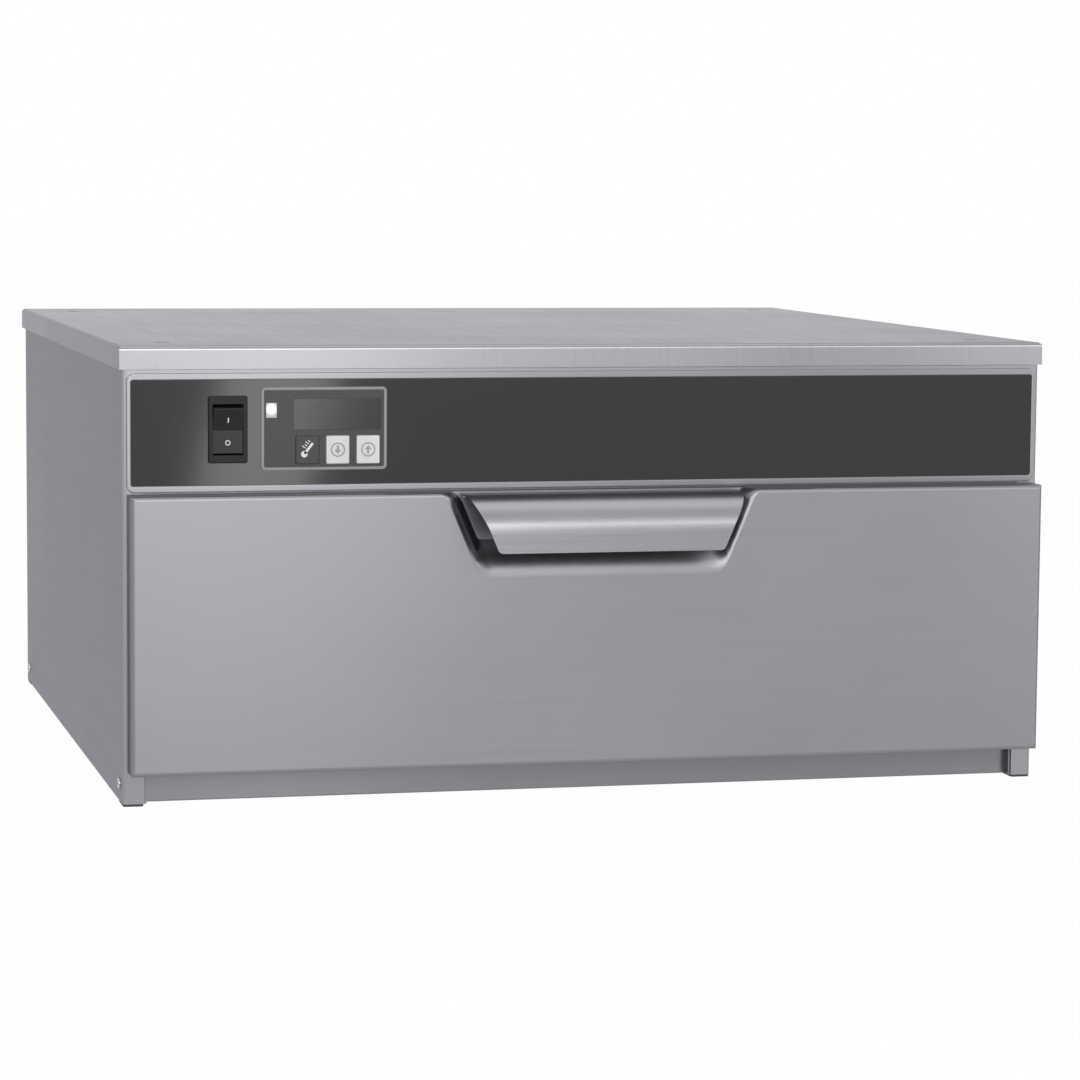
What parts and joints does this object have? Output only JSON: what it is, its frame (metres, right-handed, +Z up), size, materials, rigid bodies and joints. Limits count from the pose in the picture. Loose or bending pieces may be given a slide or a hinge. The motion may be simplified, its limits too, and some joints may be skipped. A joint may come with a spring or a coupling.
{
  "type": "countertop warming drawer",
  "caption": "Stainless countertop warming drawer: insulated case, deep sliding drawer with folded pull and lift-out pan, dark control panel with rocker, keys and display.",
  "frame": {"origin": "on the surface it stands on, below the middle of the whole from handle to back", "axes": "+X to the right seen from the front, +Y to the back, +Z up; the drawer opens towards -Y"},
  "size_m": [0.624, 0.649, 0.2965],
  "materials": {
    "case_steel": "fine vertical and horizontal brush, satin",
    "drawer_steel": "horizontal brush, satin",
    "handle_steel": "brushed along its length",
    "trim_satin": "satin",
    "panel_black": "gloss",
    "keypad_black": "semi-gloss",
    "display_dark": "gloss",
    "bezel_grey": "satin",
    "key_grey": "satin",
    "key_dark": "satin",
    "lamp_white": "gloss, translucent",
    "rocker_black": "gloss",
    "switch_black": "fine grain",
    "board_green": "semi-matte",
    "part_black": "matte",
    "spacer_white": "matte",
    "liner_steel": "mill finish",
    "wool": "fibrous",
    "heater_red": "smooth",
    "probe_steel": "polished",
    "seal_rubber": "matte",
    "slide_zinc": "bright zinc",
    "cage_steel": "bright",
    "pan_steel": "bright annealed",
    "screw_steel": "bright"
  },
  "bodies": {
    "cabinet": {"top_cover": "case_steel", "left_side_panel": "case_steel", "right_side_panel": "case_steel", "back_panel": "case_steel", "bottom_panel": "case_steel", "front_rail": "case_steel", "top_rail": "case_steel", "face_frame": "case_steel", "fascia_plate": "case_steel", "control_panel_trim": "trim_satin", "control_overlay": "panel_black", "keypad_overlay": "keypad_black", "display_lens": "display_dark", "display_module": "display_dark", "keypad_bezel": "bezel_grey", "heat_indicator": "lamp_white", "rocker_switch_housing": "switch_black", "control_board": "board_green", "tactile_switches": "part_black", "power_relay": "part_black", "terminal_block": "part_black", "cable_gland": "part_black", "board_spacers": "spacer_white", "liner_floor": "liner_steel", "liner_roof": "liner_steel", "liner_side_walls": "liner_steel", "liner_back_wall": "liner_steel", "electronics_tray": "liner_steel", "insulation_pads": "wool", "heating_cable": "heater_red", "temperature_probe": "probe_steel", "high_limit_thermostat": "probe_steel", "corner_feet": "seal_rubber", "outer_rails": "slide_zinc", "cover_screws": "screw_steel", "case_screws": "screw_steel", "board_screws": "screw_steel"},
    "drawer": {"drawer_front_skin": "drawer_steel", "drawer_front_inner": "drawer_steel", "drawer_front_insulation": "wool", "drawer_gasket": "seal_rubber", "drawer_handle": "handle_steel", "inner_rails": "slide_zinc", "drawer_frame": "drawer_steel", "food_pan": "pan_steel", "drawer_screws": "screw_steel"},
    "right_middle_rail_body": {"right_middle_rail": "slide_zinc"},
    "left_middle_rail_body": {"left_middle_rail": "slide_zinc"},
    "right_outer_cage_body": {"right_outer_ball_cage": "cage_steel"},
    "left_outer_cage_body": {"left_outer_ball_cage": "cage_steel"},
    "right_inner_cage_body": {"right_inner_ball_cage": "cage_steel"},
    "left_inner_cage_body": {"left_inner_ball_cage": "cage_steel"},
    "rocker": {"power_rocker": "rocker_black"},
    "temperature_button": {"temperature_key": "key_dark"},
    "down_button": {"down_key": "key_grey"},
    "up_button": {"up_key": "key_grey"}
  },
  "joints": [
    {"name": "drawer_slide", "type": "slide", "parent": "cabinet", "child": "drawer", "axis": [0, -1, 0], "range_m": [0, 0.47]},
    {"name": "right_middle_rail_slide", "type": "slide", "parent": "cabinet", "child": "right_middle_rail_body", "axis": [0, -1, 0], "range_m": [0, 0.235]},
    {"name": "right_outer_cage_slide", "type": "slide", "parent": "cabinet", "child": "right_outer_cage_body", "axis": [0, -1, 0], "range_m": [0, 0.1175]},
    {"name": "right_inner_cage_slide", "type": "slide", "parent": "cabinet", "child": "right_inner_cage_body", "axis": [0, -1, 0], "range_m": [0, 0.3525]},
    {"name": "left_middle_rail_slide", "type": "slide", "parent": "cabinet", "child": "left_middle_rail_body", "axis": [0, -1, 0], "range_m": [0, 0.235]},
    {"name": "left_outer_cage_slide", "type": "slide", "parent": "cabinet", "child": "left_outer_cage_body", "axis": [0, -1, 0], "range_m": [0, 0.1175]},
    {"name": "left_inner_cage_slide", "type": "slide", "parent": "cabinet", "child": "left_inner_cage_body", "axis": [0, -1, 0], "range_m": [0, 0.3525]},
    {"name": "power_rocker_hinge", "type": "hinge", "parent": "cabinet", "child": "rocker", "pos_m": [-0.2425, -0.2755, 0.2428], "axis": [-1, 0, 0], "range_deg": [0, 18]},
    {"name": "temperature_key_press", "type": "slide", "parent": "cabinet", "child": "temperature_button", "axis": [0, 1, 0], "range_m": [0, 0.0005], "stiffness_N_per_m": 600},
    {"name": "down_key_press", "type": "slide", "parent": "cabinet", "child": "down_button", "axis": [0, 1, 0], "range_m": [0, 0.0005], "stiffness_N_per_m": 600},
    {"name": "up_key_press", "type": "slide", "parent": "cabinet", "child": "up_button", "axis": [0, 1, 0], "range_m": [0, 0.0005], "stiffness_N_per_m": 600}
  ],
  "couplings": [
    {"joint": "right_middle_rail_slide", "follows": "drawer_slide", "ratio": 0.5},
    {"joint": "right_outer_cage_slide", "follows": "drawer_slide", "ratio": 0.25},
    {"joint": "right_inner_cage_slide", "follows": "drawer_slide", "ratio": 0.75},
    {"joint": "left_middle_rail_slide", "follows": "drawer_slide", "ratio": 0.5},
    {"joint": "left_outer_cage_slide", "follows": "drawer_slide", "ratio": 0.25},
    {"joint": "left_inner_cage_slide", "follows": "drawer_slide", "ratio": 0.75}
  ]
}
